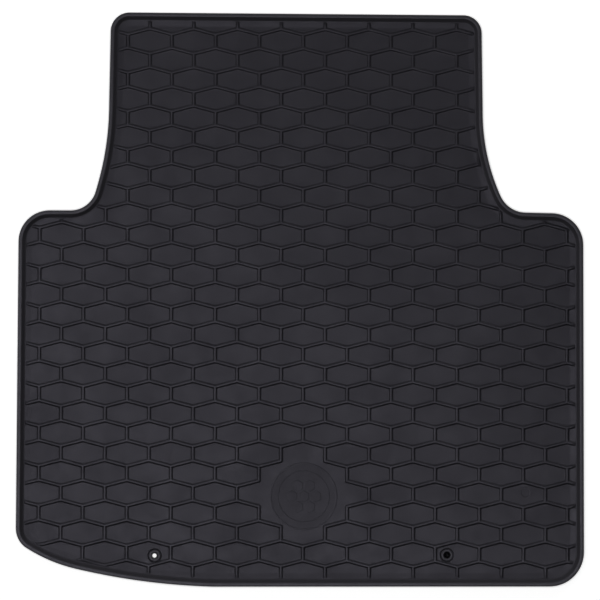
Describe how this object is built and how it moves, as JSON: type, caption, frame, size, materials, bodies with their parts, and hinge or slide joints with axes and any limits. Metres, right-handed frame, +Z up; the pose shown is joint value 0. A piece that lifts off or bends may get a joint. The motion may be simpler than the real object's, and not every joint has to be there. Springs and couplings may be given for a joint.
{
  "type": "rubber floor mat",
  "caption": "Moulded rubber footwell mat with a raised rim, honeycomb grip ribs, a narrower toe flap that bends up, and two snap eyelets near the seat edge.",
  "frame": {"origin": "centre of the mat's footprint, at ground level", "axes": "+Z up, +Y towards the toe edge, +X to the right when seen from above with the toe edge away"},
  "size_m": [0.5798, 0.5879, 0.009],
  "materials": {
    "mat_rubber": "black moulded rubber, fine matt mould texture with a soft sheen",
    "eyelet_plastic": "black satin injection-moulded plastic"
  },
  "bodies": {
    "mat_floor": {"mat_floor_section": "mat_rubber", "left_eyelet_socket": "eyelet_plastic", "left_eyelet_lock_ring": "eyelet_plastic", "right_eyelet_socket": "eyelet_plastic", "right_eyelet_lock_cap": "eyelet_plastic"},
    "toe_flap": {"mat_toe_section": "mat_rubber"}
  },
  "joints": [
    {"name": "toe_bend", "type": "hinge", "parent": "mat_floor", "child": "toe_flap", "pos_m": [0, 0.1458, 0.009], "axis": [1, 0, 0], "range_deg": [0, 45], "stiffness_Nm_per_rad": 0.1}
  ]
}
